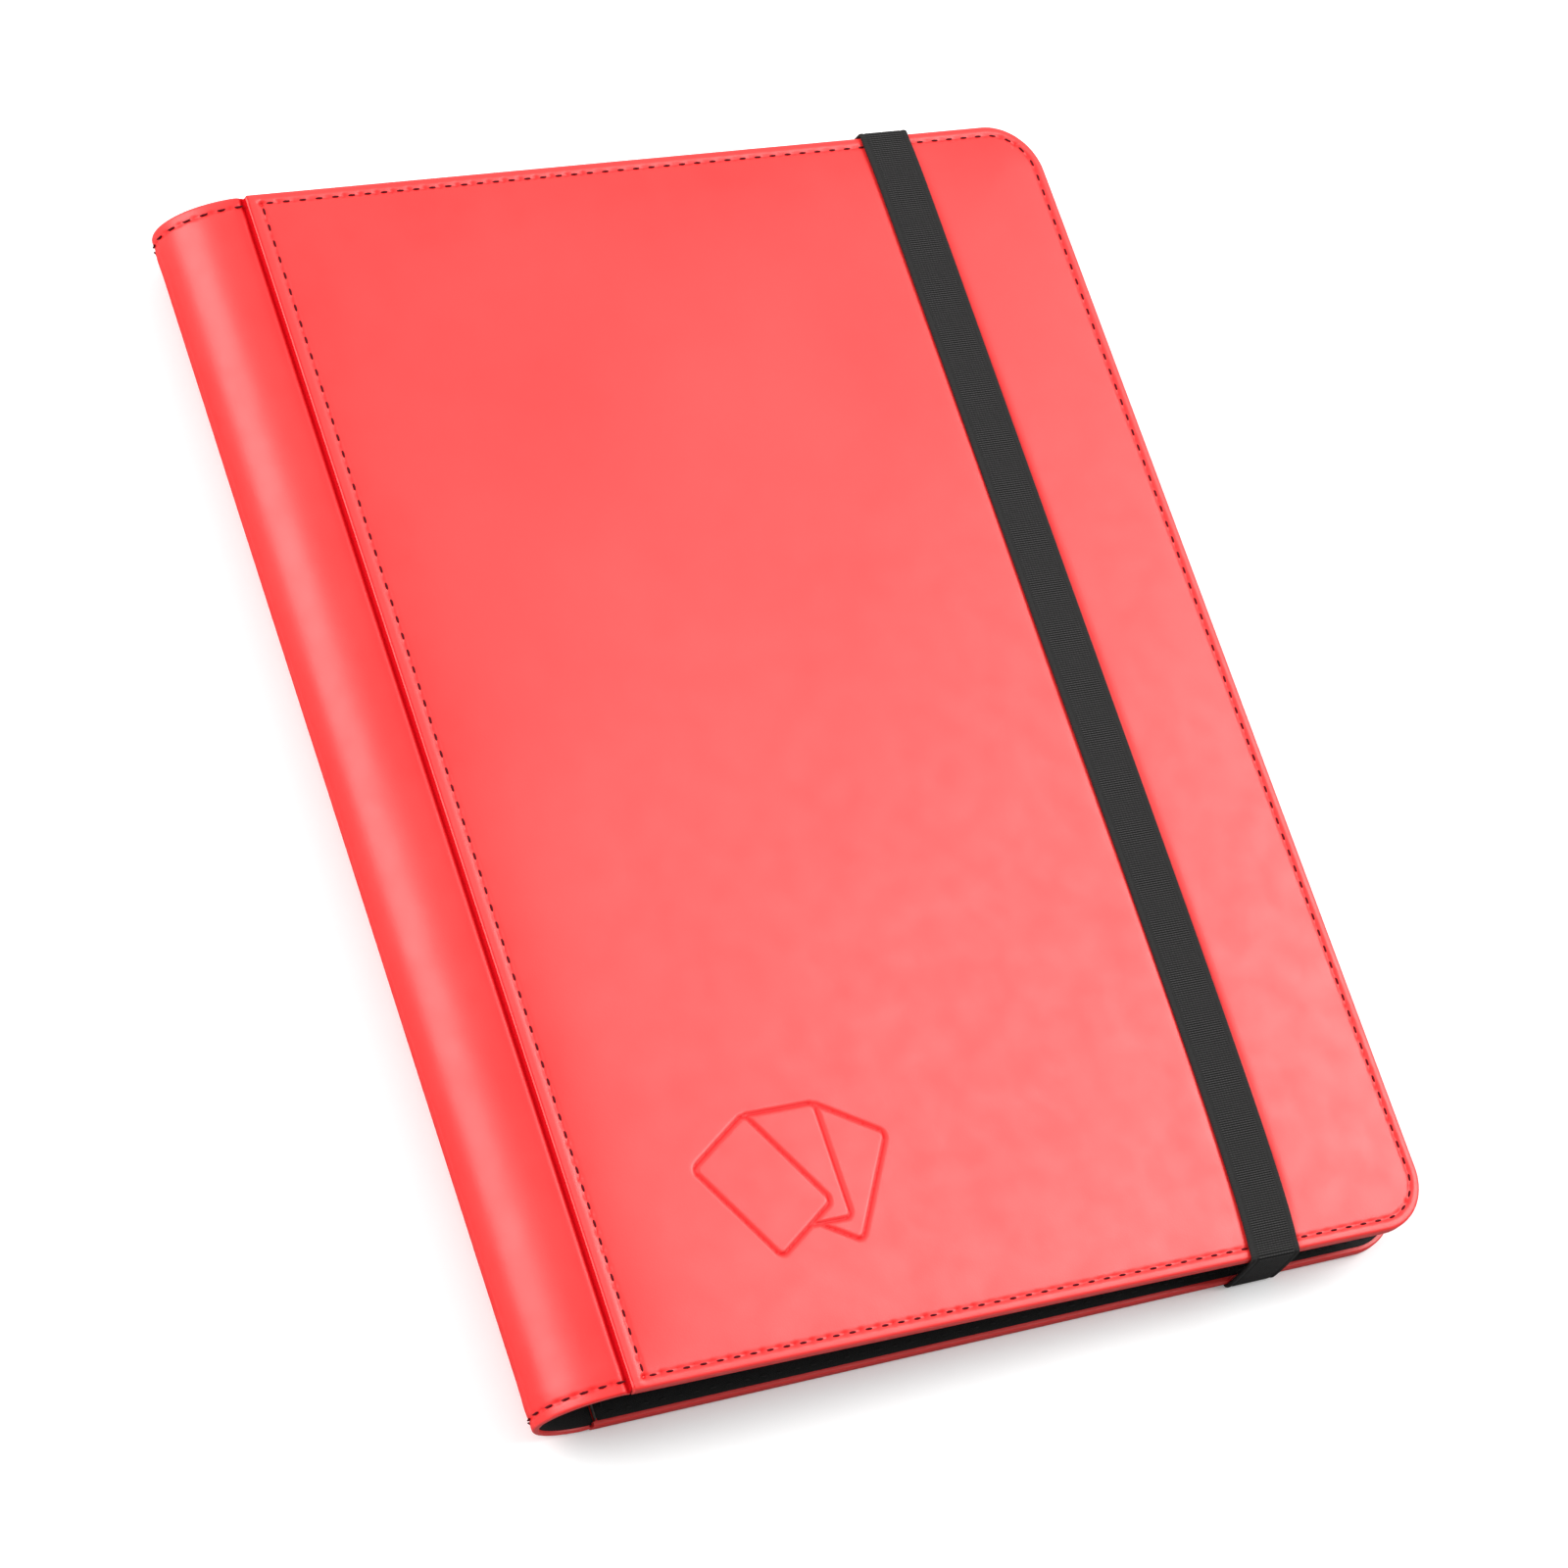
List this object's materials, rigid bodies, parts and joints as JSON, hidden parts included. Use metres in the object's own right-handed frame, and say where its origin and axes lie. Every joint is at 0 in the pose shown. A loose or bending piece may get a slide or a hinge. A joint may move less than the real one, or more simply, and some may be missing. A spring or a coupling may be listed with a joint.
{
  "type": "trading card binder",
  "caption": "Padded soft-cover binder for trading cards, with a rounded spine, bound leaves of side-loading card pockets and an elastic closing strap.",
  "frame": {"origin": "middle of the bottom of the closed binder's box, on the back cover's outer face", "axes": "+X from the spine to the fore-edge, +Y to the top edge, +Z out of the front cover"},
  "size_m": [0.2617, 0.3326, 0.0315],
  "materials": {
    "red_leather": "smooth, soft sheen",
    "black_lining": "matt woven",
    "greyboard": "matt",
    "padding": "matt foam",
    "thread": "twisted thread",
    "black_thread": "twisted thread",
    "stiffener": "matt",
    "hinge_fabric": "matt non-woven",
    "pocket_film": "clear film on black",
    "elastic": "ribbed elastic webbing"
  },
  "bodies": {
    "back_cover": {"back_cover_skin": "red_leather", "back_cover_foam": "padding", "back_cover_board": "greyboard", "back_cover_lining": "black_lining", "back_cover_stitching": "thread", "back_hinge_stitching": "thread"},
    "front_cover": {"front_cover_skin": "red_leather", "front_cover_foam": "padding", "front_cover_board": "greyboard", "front_cover_lining": "black_lining", "front_cover_stitching": "thread", "front_hinge_stitching": "thread"},
    "spine": {"spine_skin": "red_leather", "spine_stiffener": "stiffener", "spine_lining": "black_lining", "spine_stitching": "thread", "leaf_hinge_strips": "hinge_fabric", "binding_spacers": "greyboard", "binding_wrap": "black_lining", "binding_anchor_tape": "black_lining", "binding_stitching": "black_thread"},
    "strap": {"elastic_strap": "elastic"},
    "leaf_01": {"leaf_01": "pocket_film"},
    "leaf_02": {"leaf_02": "pocket_film"},
    "leaf_03": {"leaf_03": "pocket_film"},
    "leaf_04": {"leaf_04": "pocket_film"},
    "leaf_05": {"leaf_05": "pocket_film"},
    "leaf_06": {"leaf_06": "pocket_film"},
    "leaf_07": {"leaf_07": "pocket_film"},
    "leaf_08": {"leaf_08": "pocket_film"},
    "leaf_09": {"leaf_09": "pocket_film"},
    "leaf_10": {"leaf_10": "pocket_film"},
    "leaf_11": {"leaf_11": "pocket_film"},
    "leaf_12": {"leaf_12": "pocket_film"},
    "leaf_13": {"leaf_13": "pocket_film"},
    "leaf_14": {"leaf_14": "pocket_film"},
    "leaf_15": {"leaf_15": "pocket_film"},
    "leaf_16": {"leaf_16": "pocket_film"},
    "leaf_17": {"leaf_17": "pocket_film"},
    "leaf_18": {"leaf_18": "pocket_film"},
    "leaf_19": {"leaf_19": "pocket_film"},
    "leaf_20": {"leaf_20": "pocket_film"}
  },
  "joints": [
    {"name": "spine_opening", "type": "hinge", "parent": "back_cover", "child": "spine", "pos_m": [-0.12682, 0, 0.00427], "axis": [0, -1, 0], "range_deg": [0, 91.42], "deforming": ["spine_skin", "spine_lining", "spine_stiffener", "spine_stitching"]},
    {"name": "front_cover_opening", "type": "hinge", "parent": "spine", "child": "front_cover", "pos_m": [-0.12623, 0, 0.02803], "axis": [0, -1, 0], "range_deg": [0, 91.42]},
    {"name": "leaf_01_turn", "type": "hinge", "parent": "spine", "child": "leaf_01", "pos_m": [-0.1103, 0, 0.01574], "axis": [0, -1, 0], "range_deg": [0, 92.53], "deforming": ["leaf_hinge_strips"]},
    {"name": "leaf_02_turn", "type": "hinge", "parent": "spine", "child": "leaf_02", "pos_m": [-0.1103, 0, 0.01574], "axis": [0, -1, 0], "range_deg": [0, 91.18]},
    {"name": "leaf_03_turn", "type": "hinge", "parent": "spine", "child": "leaf_03", "pos_m": [-0.1103, 0, 0.01574], "axis": [0, -1, 0], "range_deg": [0, 89.83]},
    {"name": "leaf_04_turn", "type": "hinge", "parent": "spine", "child": "leaf_04", "pos_m": [-0.1103, 0, 0.01574], "axis": [0, -1, 0], "range_deg": [0, 88.48]},
    {"name": "leaf_05_turn", "type": "hinge", "parent": "spine", "child": "leaf_05", "pos_m": [-0.1103, 0, 0.01574], "axis": [0, -1, 0], "range_deg": [0, 87.13]},
    {"name": "leaf_06_turn", "type": "hinge", "parent": "spine", "child": "leaf_06", "pos_m": [-0.1103, 0, 0.01574], "axis": [0, -1, 0], "range_deg": [0, 85.78]},
    {"name": "leaf_07_turn", "type": "hinge", "parent": "spine", "child": "leaf_07", "pos_m": [-0.1103, 0, 0.01574], "axis": [0, -1, 0], "range_deg": [0, 84.43]},
    {"name": "leaf_08_turn", "type": "hinge", "parent": "spine", "child": "leaf_08", "pos_m": [-0.1103, 0, 0.01574], "axis": [0, -1, 0], "range_deg": [0, 83.08]},
    {"name": "leaf_09_turn", "type": "hinge", "parent": "spine", "child": "leaf_09", "pos_m": [-0.1103, 0, 0.01574], "axis": [0, -1, 0], "range_deg": [0, 81.73]},
    {"name": "leaf_10_turn", "type": "hinge", "parent": "spine", "child": "leaf_10", "pos_m": [-0.1103, 0, 0.01574], "axis": [0, -1, 0], "range_deg": [0, 80.38]},
    {"name": "leaf_11_turn", "type": "hinge", "parent": "spine", "child": "leaf_11", "pos_m": [-0.1103, 0, 0.01574], "axis": [0, -1, 0], "range_deg": [-80.38, 0]},
    {"name": "leaf_12_turn", "type": "hinge", "parent": "spine", "child": "leaf_12", "pos_m": [-0.1103, 0, 0.01574], "axis": [0, -1, 0], "range_deg": [-81.73, 0]},
    {"name": "leaf_13_turn", "type": "hinge", "parent": "spine", "child": "leaf_13", "pos_m": [-0.1103, 0, 0.01574], "axis": [0, -1, 0], "range_deg": [-83.08, 0]},
    {"name": "leaf_14_turn", "type": "hinge", "parent": "spine", "child": "leaf_14", "pos_m": [-0.1103, 0, 0.01574], "axis": [0, -1, 0], "range_deg": [-84.43, 0]},
    {"name": "leaf_15_turn", "type": "hinge", "parent": "spine", "child": "leaf_15", "pos_m": [-0.1103, 0, 0.01574], "axis": [0, -1, 0], "range_deg": [-85.78, 0]},
    {"name": "leaf_16_turn", "type": "hinge", "parent": "spine", "child": "leaf_16", "pos_m": [-0.1103, 0, 0.01574], "axis": [0, -1, 0], "range_deg": [-87.13, 0]},
    {"name": "leaf_17_turn", "type": "hinge", "parent": "spine", "child": "leaf_17", "pos_m": [-0.1103, 0, 0.01574], "axis": [0, -1, 0], "range_deg": [-88.48, 0]},
    {"name": "leaf_18_turn", "type": "hinge", "parent": "spine", "child": "leaf_18", "pos_m": [-0.1103, 0, 0.01574], "axis": [0, -1, 0], "range_deg": [-89.83, 0]},
    {"name": "leaf_19_turn", "type": "hinge", "parent": "spine", "child": "leaf_19", "pos_m": [-0.1103, 0, 0.01574], "axis": [0, -1, 0], "range_deg": [-91.18, 0]},
    {"name": "leaf_20_turn", "type": "hinge", "parent": "spine", "child": "leaf_20", "pos_m": [-0.1103, 0, 0.01574], "axis": [0, -1, 0], "range_deg": [-92.53, 0]},
    {"name": "strap_release", "type": "hinge", "parent": "back_cover", "child": "strap", "pos_m": [0.08181, 0, 0], "axis": [0, 1, 0], "range_deg": [0, 180], "deforming": ["elastic_strap"]}
  ],
  "couplings": [
    {"joint": "front_cover_opening", "follows": "spine_opening", "ratio": 1},
    {"joint": "leaf_01_turn", "follows": "spine_opening", "ratio": 1.012},
    {"joint": "leaf_02_turn", "follows": "spine_opening", "ratio": 0.99727},
    {"joint": "leaf_03_turn", "follows": "spine_opening", "ratio": 0.9825},
    {"joint": "leaf_04_turn", "follows": "spine_opening", "ratio": 0.96774},
    {"joint": "leaf_05_turn", "follows": "spine_opening", "ratio": 0.95297},
    {"joint": "leaf_06_turn", "follows": "spine_opening", "ratio": 0.9382},
    {"joint": "leaf_07_turn", "follows": "spine_opening", "ratio": 0.92344},
    {"joint": "leaf_08_turn", "follows": "spine_opening", "ratio": 0.90867},
    {"joint": "leaf_09_turn", "follows": "spine_opening", "ratio": 0.8939},
    {"joint": "leaf_10_turn", "follows": "spine_opening", "ratio": 0.87914},
    {"joint": "leaf_11_turn", "follows": "spine_opening", "ratio": -0.87914},
    {"joint": "leaf_12_turn", "follows": "spine_opening", "ratio": -0.8939},
    {"joint": "leaf_13_turn", "follows": "spine_opening", "ratio": -0.90867},
    {"joint": "leaf_14_turn", "follows": "spine_opening", "ratio": -0.92344},
    {"joint": "leaf_15_turn", "follows": "spine_opening", "ratio": -0.9382},
    {"joint": "leaf_16_turn", "follows": "spine_opening", "ratio": -0.95297},
    {"joint": "leaf_17_turn", "follows": "spine_opening", "ratio": -0.96774},
    {"joint": "leaf_18_turn", "follows": "spine_opening", "ratio": -0.9825},
    {"joint": "leaf_19_turn", "follows": "spine_opening", "ratio": -0.99727},
    {"joint": "leaf_20_turn", "follows": "spine_opening", "ratio": -1.012},
    {"joint": "strap_release", "follows": "spine_opening", "ratio": 1.9688}
  ]
}
